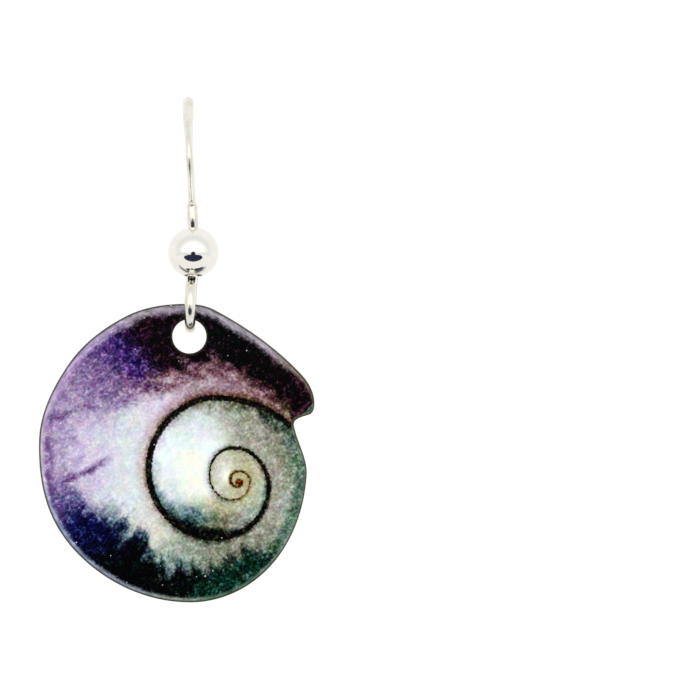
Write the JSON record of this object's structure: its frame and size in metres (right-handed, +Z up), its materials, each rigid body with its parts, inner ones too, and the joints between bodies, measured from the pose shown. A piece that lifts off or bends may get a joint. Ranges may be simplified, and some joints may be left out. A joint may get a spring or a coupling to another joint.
{
  "type": "drop earring",
  "caption": "Drop earring: a hooked silver ear wire with a ball bead and a loop, and a flat printed disc, cut to a spiral shell's outline, that swings in the loop.",
  "frame": {"origin": "inside of the hook's top bend, where the ear carries the earring", "axes": "+Z up, -Y out of the printed side of the disc, +X to the right as a viewer sees that side; the hook bends back towards +Y"},
  "size_m": [0.0163, 0.0105, 0.0298],
  "materials": {
    "silver": "polished silver",
    "printed_sheet": "printed spiral shell under a soft gloss coat, plain pale back"
  },
  "bodies": {
    "hook": {"ear_wire": "silver", "bead": "silver"},
    "pendant": {"shell_disc": "printed_sheet"}
  },
  "joints": [
    {"name": "pendant_swing", "type": "hinge", "parent": "hook", "child": "pendant", "pos_m": [0.00014, -0.0038, -0.01303], "axis": [0, 1, 0], "range_deg": [-55, 50]}
  ]
}
